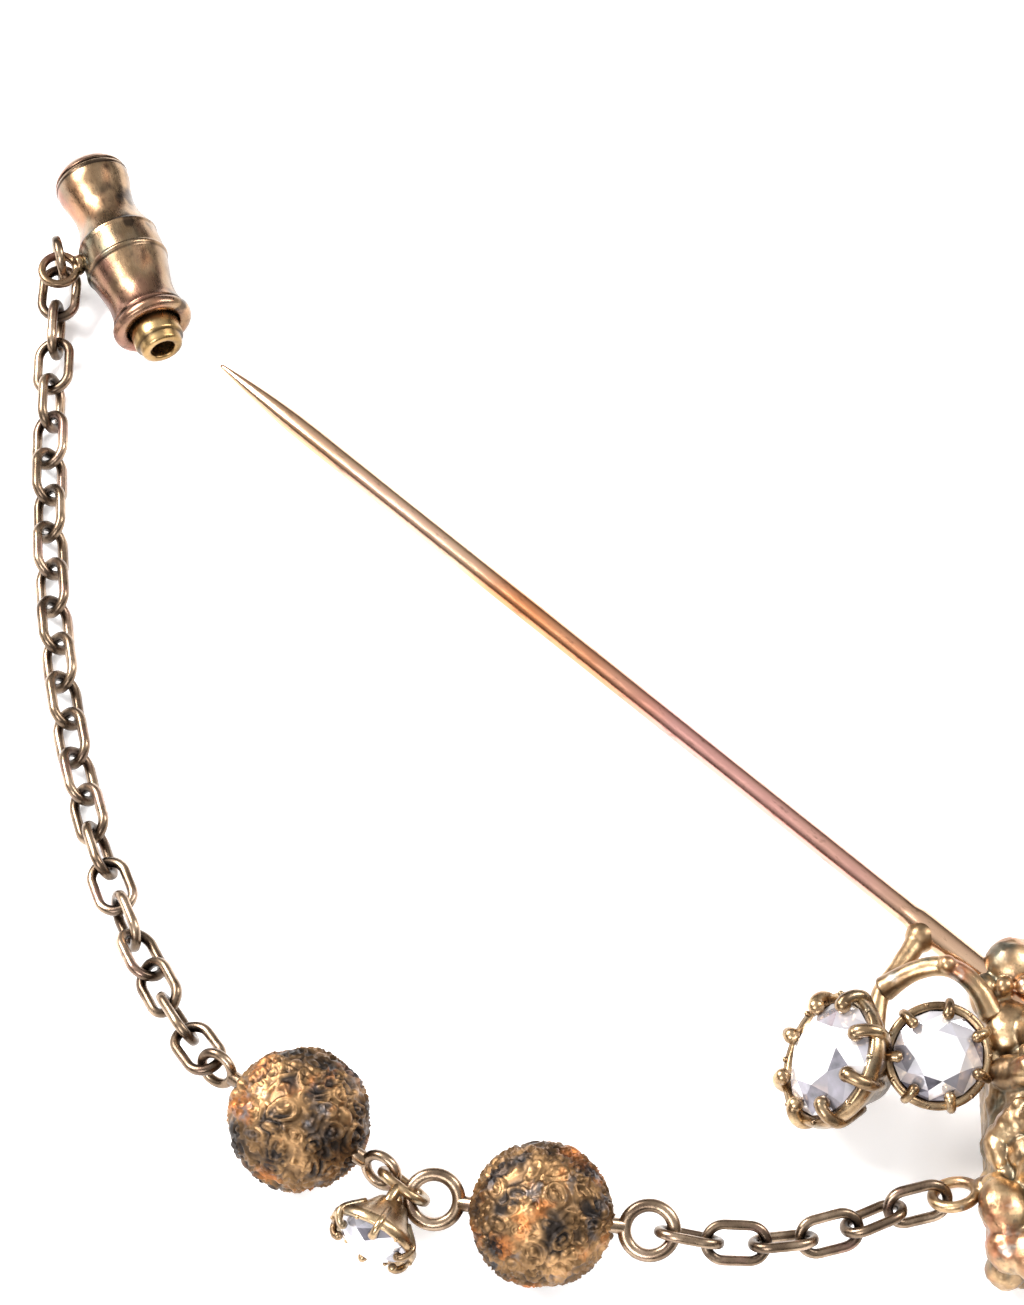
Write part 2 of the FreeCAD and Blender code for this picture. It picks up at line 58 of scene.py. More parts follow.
def set_camera():
    azimuth, elevation, distance = math.radians(43.114), math.radians(59), 300 * MM
    back = Vector((
        math.sin(azimuth) * math.cos(elevation),
        -math.cos(azimuth) * math.cos(elevation),
        math.sin(elevation),
    ))
    data = bpy.data.cameras.new("camera")
    data.sensor_width = 36
    data.lens = 157.2
    data.clip_start = 0.01
    camera = bpy.data.objects.new("camera", data)
    bpy.context.collection.objects.link(camera)
    camera.location = Vector((-29.58, -2.485, 0)) * MM + back * distance
    camera.rotation_euler = (-back).to_track_quat("-Z", "Y").to_euler()
    bpy.context.scene.camera = camera
    return back


def area_light(name, heading, height, distance, size, power, colour):
    """A soft square lamp aimed at the middle of the object from a heading and a height in degrees."""
    data = bpy.data.lights.new(name, "AREA")
    data.shape = "RECTANGLE"
    data.size, data.size_y = size[0] * MM, size[1] * MM
    data.energy = power
    data.color = colour
    lamp = bpy.data.objects.new(name, data)
    bpy.context.collection.objects.link(lamp)
    a, e = math.radians(heading), math.radians(height)
    back = Vector((math.cos(a) * math.cos(e), math.sin(a) * math.cos(e), math.sin(e)))
    lamp.location = Vector((-30, -8, 0)) * MM + back * distance * MM
    lamp.rotation_euler = (-back).to_track_quat("-Z", "Y").to_euler()


def set_stage():
    area_light("key", 198, 44, 330, (190, 110), 2.1, (1.0, 0.98, 0.96))
    area_light("fill", 290, 35, 380, (150, 150), 0.9, (0.96, 0.97, 1.0))
    area_light("rim", 60, 40, 360, (90, 200), 0.9, (1.0, 0.98, 0.96))
    mesh = bpy.data.meshes.new("floor")
    half = 1.5
    low = REST_Z * MM - 0.00002
    mesh.from_pydata([(-half, -half, low), (half, -half, low), (half, half, low), (-half, half, low)], [], [(0, 1, 2, 3)])
    floor = bpy.data.objects.new("floor", mesh)
    bpy.context.collection.objects.link(floor)
    surface = bpy.data.materials.new("floor")
    surface.use_nodes = True
    surface.node_tree.nodes["Principled BSDF"].inputs["Base Color"].default_value = (0.9, 0.9, 0.9, 1)
    surface.node_tree.nodes["Principled BSDF"].inputs["Roughness"].default_value = 0.9
    surface.node_tree.nodes["Principled BSDF"].inputs["Emission Color"].default_value = (1, 1, 1, 1)
    surface.node_tree.nodes["Principled BSDF"].inputs["Emission Strength"].default_value = 0.3
    mesh.materials.append(surface)
    world = bpy.data.worlds.new("studio")
    bpy.context.scene.world = world
    world.use_nodes = True
    nodes, links = world.node_tree.nodes, world.node_tree.links
    place = nodes.new("ShaderNodeTexCoord")
    split = nodes.new("ShaderNodeSeparateXYZ")
    ramp = nodes.new("ShaderNodeValToRGB")
    links.new(place.outputs["Generated"], split.inputs[0])
    links.new(split.outputs["Z"], ramp.inputs[0])
    links.new(ramp.outputs[0], nodes["Background"].inputs["Color"])
    nodes["Background"].inputs["Strength"].default_value = 0.9
    ramp.color_ramp.elements[0].position = 0.0
    ramp.color_ramp.elements[0].color = (0.10, 0.09, 0.08, 1)
    ramp.color_ramp.elements[1].position = 0.9
    ramp.color_ramp.elements[1].color = (1.0, 1.0, 1.0, 1)
    for at, grey in ((0.25, 0.16), (0.55, 0.55)):
        ramp.color_ramp.elements.new(at).color = (grey, grey * 0.97, grey * 0.93, 1)
    bpy.context.scene.view_settings.view_transform = "Standard"


set_camera()
set_stage()


# ---------------------------------------------------------------- materials

def srgb(r, g, b):
    """A linear colour from 0 to 255 display values."""
    out = []
    for c in (r, g, b):
        c = c / 255
        out.append(c / 12.92 if c <= 0.04045 else ((c + 0.055) / 1.055) ** 2.4)
    return (*out, 1)


class Graph:
    """A node tree with short calls for the nodes these materials share."""

    def __init__(self, name):
        self.material = bpy.data.materials.new(name)
        self.material.use_nodes = True
        self.nodes = self.material.node_tree.nodes
        self.links = self.material.node_tree.links
        self.shader = self.nodes["Principled BSDF"]

    def add(self, kind, **settings):
        node = self.nodes.new(kind)
        for key, value in settings.items():
            setattr(node, key, value)
        return node

    def wire(self, source, target):
        self.links.new(source, target)

    def local(self, stretch=(1, 1, 1)):
        """The piece's own coordinates in millimetres, stretched."""
        place = self.add("ShaderNodeAttribute", attribute_name="local")
        scale = self.add("ShaderNodeMapping")
        scale.inputs["Scale"].default_value = stretch
        self.wire(place.outputs["Vector"], scale.inputs["Vector"])
        return scale.outputs[0]

    def noise(self, scale, detail=4, stretch=(1, 1, 1), rough=0.55, distortion=0.0):
        out = self.add("ShaderNodeTexNoise")
        out.inputs["Scale"].default_value = scale
        out.inputs["Detail"].default_value = detail
        out.inputs["Roughness"].default_value = rough
        out.inputs["Distortion"].default_value = distortion
        self.wire(self.local(stretch), out.inputs["Vector"])
        return out.outputs["Fac"]

    def ramp(self, value, stops):
        out = self.add("ShaderNodeValToRGB")
        elements = out.color_ramp.elements
        elements[0].position, elements[0].color = stops[0]
        elements[1].position, elements[1].color = stops[-1]
        for at, colour in stops[1:-1]:
            elements.new(at).color = colour
        self.wire(value, out.inputs[0])
        return out.outputs[0]

    def mix(self, factor, a, b, blend="MIX"):
        out = self.add("ShaderNodeMix", data_type="RGBA", blend_type=blend)
        for value, socket in ((factor, out.inputs[0]), (a, out.inputs[6]), (b, out.inputs[7])):
            if isinstance(value, (tuple, float, int)):
                socket.default_value = value
            else:
                self.wire(value, socket)
        return out.outputs[2]

    def span(self, value, low, high, start=0.3, end=0.7):
        out = self.add("ShaderNodeMapRange")
        out.inputs["From Min"].default_value = start
        out.inputs["From Max"].default_value = end
        out.inputs["To Min"].default_value = low
        out.inputs["To Max"].default_value = high
        self.wire(value, out.inputs[0])
        return out.outputs[0]

    def attribute(self, name):
        return self.add("ShaderNodeAttribute", attribute_name=name).outputs["Fac"]

    def bump(self, height, distance, strength=0.5, normal=None):
        out = self.add("ShaderNodeBump")
        out.inputs["Strength"].default_value = strength
        out.inputs["Distance"].default_value = distance * MM
        self.wire(height, out.inputs["Height"])
        if normal is not None:
            self.wire(normal, out.inputs["Normal"])
        return out.outputs[0]


def worn_metal(name, tones, grime_and_shade_colour, patch, grime, rough, stretch=(1, 1, 1), tints_and_painted_glints=(), dents=0.02):
    """Plated metal: three tones in soft patches, painted shade in its recesses, grime, colour patches (some of them
    painted highlights and glints) and fine scratches.
    """
    g = Graph(name)
    base = g.ramp(g.noise(patch, 5, stretch), [(0.3, tones[0]), (0.5, tones[1]), (0.68, tones[2])])
    # Colour patches at random: mostly the metal's own tone, but the head's pale cream and the beads' grey are painted
    # highlights and glints.
    for scale, low, high, colour in tints_and_painted_glints:
        base = g.mix(g.span(g.noise(scale, 3, stretch), 0, 0.8, low, high), base, colour)
    specks = g.noise(grime, 6, stretch, 0.7)
    base = g.mix(g.span(specks, 0, 0.75, 0.56, 0.72), base, grime_and_shade_colour)
    # Painted shade: where the painted-shade attribute is low, in creases, grooves and insides, the metal takes the
    # grime-and-shade colour.
    base = g.mix(g.span(g.attribute("painted_shade_and_tone"), 0.92, 0.0, 0.12, 0.62), base, grime_and_shade_colour)
    g.wire(base, g.shader.inputs["Base Color"])
    g.shader.inputs["Metallic"].default_value = 1.0
    scratch = g.noise(9, 3, (0.12, 1.4, 1.4), 0.6)
    g.wire(g.mix(0.35, g.span(specks, rough[0], rough[1]), g.span(scratch, rough[0], rough[1])), g.shader.inputs["Roughness"])
    pits = g.bump(specks, dents, 0.6)
    g.wire(g.bump(scratch, 0.004, 0.35, pits), g.shader.inputs["Normal"])
    return g.material


def stone_material(name):
    """A foil-backed glass stone: pale silver facets, each painted its own grey as a painted reflection."""
    g = Graph(name)
    tone = g.ramp(g.attribute("painted_glint"), [
        (0.0, srgb(56, 56, 62)), (0.2, srgb(112, 112, 118)), (0.4, srgb(176, 175, 180)),
        (0.7, srgb(222, 220, 222)), (1.0, srgb(250, 248, 244)),
    ])
    cloud = g.noise(1.4, 3)
    tone = g.mix(g.span(cloud, 0, 0.35), tone, srgb(205, 196, 214))
    g.wire(tone, g.shader.inputs["Base Color"])
    g.shader.inputs["Metallic"].default_value = 0.45
    g.wire(g.span(cloud, 0.05, 0.16), g.shader.inputs["Roughness"])
    g.shader.inputs["Coat Weight"].default_value = 0.8
    g.shader.inputs["Coat Roughness"].default_value = 0.03
    g.shader.inputs["IOR"].default_value = 1.55
    g.wire(g.bump(g.noise(6, 2), 0.003, 0.3), g.shader.inputs["Normal"])
    return g.material


PIN_GOLD = worn_metal(
    "pin_gold", (srgb(172, 133, 104), srgb(206, 168, 138), srgb(228, 196, 164)), srgb(90, 66, 50),
    0.16, 2.2, (0.14, 0.28), (0.35, 1, 1),
    ((0.09, 0.5, 0.62, srgb(216, 158, 152)), (0.12, 0.55, 0.66, srgb(214, 134, 84))), 0.006,
)
# The pale cream tint (216, 206, 194) is a painted highlight laid in random patches.
HEAD_GOLD = worn_metal(
    "head_gold", (srgb(112, 92, 70), srgb(166, 136, 102), srgb(228, 196, 152)), srgb(72, 76, 68),
    0.55, 1.6, (0.24, 0.46), (1, 1, 1),
    ((0.3, 0.56, 0.68, srgb(172, 108, 78)), (0.4, 0.56, 0.68, srgb(92, 100, 90)), (0.6, 0.62, 0.72, srgb(216, 206, 194))),
    0.045,
)
# The grey tint (112, 112, 116) is a painted glint laid in random patches.
BEAD_GOLD = worn_metal(
    "bead_gold", (srgb(84, 66, 48), srgb(134, 104, 72), srgb(188, 148, 104)), srgb(44, 43, 44),
    0.55, 1.1, (0.36, 0.58), (1, 1, 1),
    ((0.42, 0.54, 0.66, srgb(196, 122, 68)), (0.6, 0.58, 0.7, srgb(112, 112, 116)), (0.34, 0.6, 0.68, srgb(44, 44, 48))),
    0.03,
)
CHAIN_GOLD = worn_metal(
    "chain_gold", (srgb(88, 72, 60), srgb(132, 112, 92), srgb(190, 166, 142)), srgb(46, 38, 33),
    0.5, 1.8, (0.2, 0.4), (1, 1, 1), ((0.4, 0.55, 0.7, srgb(150, 118, 108)),), 0.012,
)
CUP_GOLD = worn_metal(
    "cup_gold", (srgb(102, 82, 62), srgb(154, 128, 98), srgb(212, 184, 144)), srgb(60, 50, 40),
    0.6, 1.8, (0.2, 0.4), (1, 1, 1), ((0.5, 0.56, 0.7, srgb(140, 130, 112)),), 0.02,
)
GUARD_BRASS = worn_metal(
    "guard_brass", (srgb(92, 75, 58), srgb(136, 111, 85), srgb(186, 160, 130)), srgb(50, 41, 35),
    0.3, 1.3, (0.16, 0.42), (0.6, 1, 1),
    ((0.22, 0.5, 0.62, srgb(146, 102, 90)), (0.3, 0.54, 0.66, srgb(160, 106, 70)),
     (0.26, 0.56, 0.66, srgb(100, 108, 94)), (0.5, 0.58, 0.66, srgb(46, 38, 34))),
    0.022,
)
NOZZLE_BRASS = worn_metal(
    "nozzle_brass", (srgb(112, 88, 58), srgb(156, 126, 84), srgb(198, 168, 120)), srgb(56, 44, 32),
    0.5, 1.6, (0.22, 0.4), (1, 1, 1), (), 0.01,
)
STEEL = worn_metal(
    "steel", (srgb(120, 120, 124), srgb(160, 160, 164), srgb(196, 196, 200)), srgb(60, 58, 58),
    0.6, 2.0, (0.2, 0.35),
)
STONE = stone_material("clear_stone")


# ---------------------------------------------------------------- mesh tools (all lengths in millimetres)

def join(*shapes):
    verts, faces = [], []
    for more, flat in shapes:
        faces += [tuple(i + len(verts) for i in face) for face in flat]
        verts += [Vector(v) for v in more]
    return verts, faces


def move(shape, matrix):
    return [matrix @ Vector(v) for v in shape[0]], shape[1]


def axes_matrix(centre, x, z):
    """Places a shape with its own X and Z along two directions."""
    x, z = Vector(x).normalized(), Vector(z)
    z = (z - x * z.dot(x)).normalized()
    y = z.cross(x)
    return Matrix.Translation(centre) @ Matrix((x, y, z)).transposed().to_4x4()


def facing_matrix(centre, z):
    z = Vector(z).normalized()
    side = Vector((1, 0, 0)) if abs(z.x) < 0.9 else Vector((0, 1, 0))
    return axes_matrix(centre, side - z * side.dot(z), z)


def lathe(profile, count):
    """Turns (radius, height) points about Z. A radius of 0 makes a pole."""
    verts, rings = [], []
    for r, z in profile:
        if r < 1e-6:
            rings.append([len(verts)])
            verts.append(Vector((0, 0, z)))
        else:
            rings.append(list(range(len(verts), len(verts) + count)))
            for k in range(count):
                a = 2 * math.pi * k / count
                verts.append(Vector((r * math.cos(a), r * math.sin(a), z)))
    faces = []
    for a, b in zip(rings, rings[1:]):
        for k in range(count):
            n = (k + 1) % count
            if len(a) == 1:
                faces.append((a[0], b[n], b[k]))
            elif len(b) == 1:
                faces.append((a[k], a[n], b[0]))
            else:
                faces.append((a[k], a[n], b[n], b[k]))
    return verts, faces


def tube(path, radius, sides=16, closed=False, squash=0.0):
    """A round tube along a path. radius is a number or a function of 0 to 1 along the path."""
    count = len(path)
    size = radius if callable(radius) else lambda t: radius
    points = [Vector(p) for p in path]
    tangents = []
    for k in range(count):
        if closed:
            step = points[(k + 1) % count] - points[k - 1]
        else:
            step = points[min(k + 1, count - 1)] - points[max(k - 1, 0)]
        tangents.append(step.normalized())
    seed = UP if abs(tangents[0].z) < 0.9 else Vector((1, 0, 0))
    if closed:
        seed = points[0].cross(points[count // 4]).normalized() if points[0].length else UP
    normal = (seed - tangents[0] * seed.dot(tangents[0])).normalized()
    verts = []
    for k in range(count):
        normal = (normal - tangents[k] * normal.dot(tangents[k])).normalized()
        side = tangents[k].cross(normal)
        for j in range(sides):
            a = 2 * math.pi * j / sides
            r = size(k / max(1, count - 1)) * (1 - squash * math.cos(4 * a))
            verts.append(points[k] + (normal * math.cos(a) + side * math.sin(a)) * r)
    faces = []
    for k in range(count if closed else count - 1):
        n = (k + 1) % count
        for j in range(sides):
            m = (j + 1) % sides
            faces.append((k * sides + j, n * sides + j, n * sides + m, k * sides + m))
    if not closed:
        for k, flip in ((0, -1), (count - 1, 1)):
            r = size(k / max(1, count - 1))
            verts.append(points[k] + tangents[k] * flip * 0.6 * r)
            for j in range(sides):
                m = (j + 1) % sides
                faces.append((len(verts) - 1, k * sides + m, k * sides + j))
    return verts, faces


def ball(radius, centre=(0, 0, 0), rings=8, count=14):
    profile = [(0, -radius)]
    for k in range(1, rings):
        a = math.pi * k / rings
        profile.append((radius * math.sin(a), -radius * math.cos(a)))
    profile.append((0, radius))
    return move(lathe(profile, count), Matrix.Translation(centre))


def smooth_path(points, steps=8):
    """A rounded path through points (Catmull-Rom)."""
    p = [Vector(q) for q in points]
    p = [p[0] * 2 - p[1]] + p + [p[-1] * 2 - p[-2]]
    out = []
    for k in range(1, len(p) - 2):
        for j in range(steps):
            t = j / steps
            a, b, c, d = p[k - 1], p[k], p[k + 1], p[k + 2]
            out.append(0.5 * (2 * b + (c - a) * t + (2 * a - 5 * b + 4 * c - d) * t * t
                              + (3 * b - a - 3 * c + d) * t ** 3))
    return out + [p[-2]]


def set_attribute(mesh, name, values):
    kind = "FLOAT_VECTOR" if np.ndim(values) == 2 else "FLOAT"
    layer = mesh.attributes.new(name, kind, "POINT")
    layer.data.foreach_set("vector" if kind == "FLOAT_VECTOR" else "value", np.ravel(values).astype(np.float32))


def piece(name, shape, material, body, nodes, matrix=None, painted_shade_and_tone=None, smooth=True, weld=False):
    """Makes one object from a shape in millimetres: it rides on a body and stands for CAD nodes."""
    verts, faces = shape
    local = np.array([tuple(v) for v in verts])
    matrix = matrix or Matrix.Identity(4)
    placed = [(matrix @ Vector(v)) * MM for v in verts]
    mesh = bpy.data.meshes.new(name)
    mesh.from_pydata([tuple(v) for v in placed], [], [tuple(f) for f in faces])
    set_attribute(mesh, "local", local + np.array([3.1 * (sum(map(ord, name)) % 17), 0, 0]))
    # Painted-shade attribute: low values are painted dark as shade, some pieces mix random tone into it, and 1 means
    # none.
    set_attribute(mesh, "painted_shade_and_tone", np.ones(len(verts)) if painted_shade_and_tone is None else np.asarray(painted_shade_and_tone))
    work = bmesh.new()
    work.from_mesh(mesh)
    if weld:
        bmesh.ops.remove_doubles(work, verts=work.verts, dist=1e-6)
    bmesh.ops.recalc_face_normals(work, faces=work.faces)
    work.to_mesh(mesh)
    work.free()
    mesh.polygons.foreach_set("use_smooth", [smooth] * len(mesh.polygons))
    mesh.materials.append(material)
    out = bpy.data.objects.new(name, mesh)
    bpy.context.collection.objects.link(out)
    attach(out, body)
    if nodes:
        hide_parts(*nodes)
    return out


def points_of(node):
    """A CAD node's vertices in millimetres."""
    mesh = frame["nodes"][node].data
    out = np.empty(3 * len(mesh.vertices), np.float32)
    mesh.vertices.foreach_get("co", out)
    return out.reshape(-1, 3).astype(float) / MM


def link_frame(node):
    """Centre, long axis and normal of a flat symmetrical ring-like CAD node."""
    pts = points_of(node)
    axes = np.linalg.svd(pts - pts.mean(0), full_matrices=False)[2]
    spans = pts @ axes.T
    centre = ((spans.max(0) + spans.min(0)) / 2) @ axes
    return Vector(centre), Vector(axes[0]), Vector(axes[2])


# ---------------------------------------------------------------- chain

LINK = (3.6, 2.35, 0.27)


def oval(length, width, wire, count=56):
    """Centre line of an oval ring, evenly spaced."""
    bend = width / 2 - wire
    half = length / 2 - wire - bend
    total = 4 * half + 2 * math.pi * bend
    out = []
    for k in range(count):
        s = total * k / count
        if s < math.pi * bend:
            a = s / bend - math.pi / 2
            out.append(Vector((half + bend * math.cos(a), bend * math.sin(a), 0)))
        elif s < math.pi * bend + 2 * half:
            out.append(Vector((half - (s - math.pi * bend), bend, 0)))
        elif s < 2 * math.pi * bend + 2 * half:
            a = (s - math.pi * bend - 2 * half) / bend + math.pi / 2
            out.append(Vector((-half + bend * math.cos(a), bend * math.sin(a), 0)))
        else:
            out.append(Vector((-half + (s - 2 * math.pi * bend - 2 * half), -bend, 0)))
    return out


def make_link(node, body, length=LINK[0]):
    """One link, slightly uneven, with painted shade at its ends and on its inside."""
    wire, sides = LINK[2], 14
    path = oval(length, LINK[1], wire)
    seed = sum(map(ord, node)) % 23
    shape = tube(path, wire, sides, True, 0.035)
    verts = [v + v.normalized() * 0.02 * noise.noise(v * 1.1 + Vector((seed, 3, 1))) for v in shape[0]]
    far = max(abs(p.x) for p in path)
    painted_shade_and_tone = []
    for p in path:
        shade = min(1.0, 1.3 - abs(p.x) / far) + 0.15 * noise.noise(p * 1.7 + Vector((seed, 0, 0)))
        for j in range(sides):
            painted_shade_and_tone.append(shade - 0.45 * max(0.0, -math.sin(2 * math.pi * j / sides)))
    centre, along, normal = link_frame(node)
    piece(node + "_ring", (verts, shape[1]), CHAIN_GOLD, body, [node],
          axes_matrix(centre, along, normal), painted_shade_and_tone)


def make_chain():
    for node in sorted(frame["nodes"]):
        if node.startswith(("short_link_", "long_link_")):
            make_link(node, node)
    make_link("guard_link", "guard_link", 3.0)


make_chain()


# ---------------------------------------------------------------- beads

def icosphere(level):
    work = bmesh.new()
    bmesh.ops.create_icosphere(work, subdivisions=level, radius=1.0)
    verts = np.array([tuple(v.co) for v in work.verts])
    faces = np.array([[v.index for v in f.verts] for f in work.faces])
    work.free()
    return verts, faces


def warped(p, amount, scale, seed):
    """Unit points pushed about by smooth noise, so that no two rosettes match."""
    push = [noise.noise_vector(Vector(q) * scale + Vector((seed, 0, 0))) for q in p]
    q = p + amount * np.array([tuple(v) for v in push])
    return q / np.linalg.norm(q, axis=1)[:, None]


def bead_height(p, seed):
    """For unit points: how high the wire rosettes, rings, scrolls and granules stand, from 0 to 1."""
    scroll = np.array([noise.noise(Vector(q) * 3.1 + Vector((0, seed, 5))) for q in p])
    lump = np.array([noise.noise(Vector(q) * 2.3 + Vector((seed, 9, 0))) for q in p])
    p = warped(p, 0.13, 1.9, seed)
    centres, faces = icosphere(1)
    crossings = centres[faces].mean(1)
    crossings /= np.linalg.norm(crossings, axis=1)[:, None]
    near = (p @ centres.T).argmax(1)
    theta = np.degrees(np.arccos(np.clip((p * centres[near]).sum(1), -1, 1)))
    order = centres @ centres.T
    twirl = np.array([noise.noise(Vector(q) * 4.4 + Vector((seed, 2, 9))) for q in p])
    height = np.maximum(0.6 * np.exp(-(scroll / 0.1) ** 2), 0.7 * np.exp(-(twirl / 0.085) ** 2))
    grains, _ = icosphere(2)
    rho = np.degrees(np.arccos(np.clip((p @ grains.T).max(1), -1, 1)))
    height = np.maximum(height, 0.75 * np.clip(1 - (rho / 3.4) ** 2, 0, 1) ** 0.5)
    for k, centre in enumerate(centres):
        mine = near == k
        neighbour = centres[np.argsort(-order[k])[1]]
        x = neighbour - centre * neighbour.dot(centre)
        x /= np.linalg.norm(x)
        y = np.cross(centre, x)
        q, t = p[mine], theta[mine]
        phi = np.arctan2(q @ y, q @ x) + 0.02 * t
        wedge = np.degrees(np.abs((phi + math.pi / 5) % (2 * math.pi / 5) - math.pi / 5))
        petal = np.hypot((t - 18) / 8.5, wedge * np.sin(np.radians(t)) / 6.2)
        rim = np.exp(-((petal - 1.05) / 0.2) ** 2)
        seedling = 0.85 * np.clip(1 - (petal / 0.42) ** 2, 0, 1) ** 0.5
        granule = 1.05 * np.clip(1 - (t / 6.4) ** 2, 0, 1) ** 0.5
        height[mine] = np.maximum.reduce([height[mine], rim, seedling, granule])
    psi = np.degrees(np.arccos(np.clip((p @ crossings.T).max(1), -1, 1)))
    height = np.maximum(height, 0.95 * np.exp(-((psi - 6.5) / 1.5) ** 2))
    height = np.maximum(height, 0.9 * np.clip(1 - (psi / 3.2) ** 2, 0, 1) ** 0.5)
    return np.clip(height * (0.85 + 0.5 * lump), 0, 1)


def filigree_bead(radius, depth, level, seed):
    """A ball covered in applied wirework, bored along X."""
    p, faces = icosphere(level)
    height = bead_height(p, seed)
    reach = radius - depth + depth * height
    verts = p * reach[:, None]
    bore = np.hypot(p[:, 1], p[:, 2]) * radius
    near_bore = (bore < 0.5) & (np.abs(p[:, 0]) > 0.9)
    keep = ~near_bore[faces].all(1)
    faces = faces[keep]
    used = np.unique(faces)
    index = -np.ones(len(p), int)
    index[used] = np.arange(len(used))
    faces = index[faces]
    outer, height = verts[used], height[used]
    inner = outer / np.linalg.norm(outer, axis=1)[:, None] * (radius - depth - 0.22)
    count = len(outer)
    edges = {(f[k], f[(k + 1) % 3]) for f in faces.tolist() for k in range(3)}
    walls = [(b, a, a + count, b + count) for a, b in edges if (b, a) not in edges]
    shape_faces = [tuple(f) for f in faces] + [tuple(i + count for i in f[::-1]) for f in faces] + walls
    mottle = np.array([noise.noise(Vector(q) * 0.75 + Vector((seed, 0, 0))) for q in verts[used]])
    # Painted shade: low parts between the wires are painted darker, mixed with random mottle; the inner shell is
    # painted fully dark as shade.
    painted_shade_and_tone = np.concatenate([np.clip(0.28 + 0.6 * height + 0.75 * mottle, 0, 1), np.zeros(count)])
    return ([Vector(v) for v in np.vstack([outer, inner])], shape_faces), painted_shade_and_tone


def make_bead(name, body):
    pts = points_of(name)
    centre = Vector((pts.max(0) + pts.min(0)) / 2)
    _, along, normal = link_frame(name + "_wire")
    shape, painted_shade_and_tone = filigree_bead(3.74, 0.34, 6, 4.0 if name == "bead_1" else 11.0)
    tilt = Matrix.Rotation(0.5, 4, "X")
    piece(name + "_filigree", shape, BEAD_GOLD, body, [name],
          axes_matrix(centre, along, normal) @ tilt, painted_shade_and_tone)


def make_bead_wire(name, body, loop, wire, offset, pin=0.4):
    """The wire through a bead: each end wraps round into a closed loop."""
    centre, along, normal = link_frame(name)
    reach = offset - loop
    shapes = [tube([(-reach, 0, 0), (-reach / 2, 0, 0), (0, 0, 0), (reach / 2, 0, 0), (reach, 0, 0)], pin, 16)]
    for sign in (-1, 1):
        ring = []
        for k in range(40):
            a = 2 * math.pi * k / 40
            ring.append(Vector((sign * offset + loop * math.cos(a), loop * math.sin(a), 0)))
        ring = [q - Vector((sign * offset, 0, 0)) for q in ring]
        shapes.append(move(tube(ring, wire, 14, True, 0.015), Matrix.Translation((sign * offset, 0, 0))))
    shape = join(*shapes)
    piece(name + "_loops", shape, CHAIN_GOLD, body, [name], axes_matrix(centre, along, normal),
          [0.85 + 0.15 * noise.noise(v * 1.3) for v in shape[0]])


make_bead("bead_1", "bead_1")
make_bead("bead_2", "bead_2")
make_bead_wire("bead_1_wire", "bead_1_wire", 0.9, 0.265, 5.05)
make_bead_wire("bead_2_wire", "bead_2_wire", 1.25, 0.35, 5.42)


# ---------------------------------------------------------------- stones and their claw cups

def cut_stone(radius, seed):
    """A round brilliant: table, star, kite and girdle facets over a pointed pavilion, one grey per facet as a painted
    reflection.
    """
    verts, faces, tones = [], [], []
    levels = ((0.56, 0.39, 8, 0.0), (0.8, 0.24, 8, 0.5), (1.0, 0.05, 16, 0.25), (1.0, -0.05, 16, 0.25), (0.55, -0.42, 8, 0.5))
    rings = []
    for r, z, count, shift in levels:
        ring = []
        for k in range(count):
            a = 2 * math.pi * (k + shift) / count
            ring.append(Vector((r * math.cos(a), r * math.sin(a), z)) * radius)
        rings.append(ring)
    table, star, girdle, under, lower = rings
    culet = Vector((0, 0, -0.79 * radius))

    def facet(*points):
        faces.append(tuple(range(len(verts), len(verts) + len(points))))
        verts.extend(points)
        tones.append((math.sin(12.9898 * (len(faces) + seed)) * 43758.5453) % 1.0)

    facet(*table)
    # The table is always painted bright, as a painted highlight.
    tones[0] = 0.8
    for k in range(8):
        n = (k + 1) % 8
        facet(table[k], star[k], table[n])
        facet(table[n], star[k], girdle[2 * k + 1], star[n])
        facet(star[k], girdle[2 * k], girdle[2 * k + 1])
        facet(star[k], girdle[2 * k - 1], girdle[2 * k])
        facet(lower[k], under[2 * k + 1], under[2 * k])
        facet(lower[k], under[2 * k], under[2 * k - 1])
        facet(lower[k], lower[n], under[2 * k + 1])
        facet(lower[k], culet, lower[n])
    for k in range(16):
        n = (k + 1) % 16
        facet(girdle[k], under[k], under[n], girdle[n])
    painted_glint = []
    for face, tone in zip(faces, tones):
        painted_glint += [tone] * len(face)
    return (verts, faces), painted_glint


def make_stone(node, radius, centre, facing, body):
    shape, painted_glint = cut_stone(radius * 0.995, len(node))
    out = piece(node + "_facets", shape, STONE, body, [node], facing_matrix(centre, facing), smooth=False)
    set_attribute(out.data, "painted_glint", painted_glint)


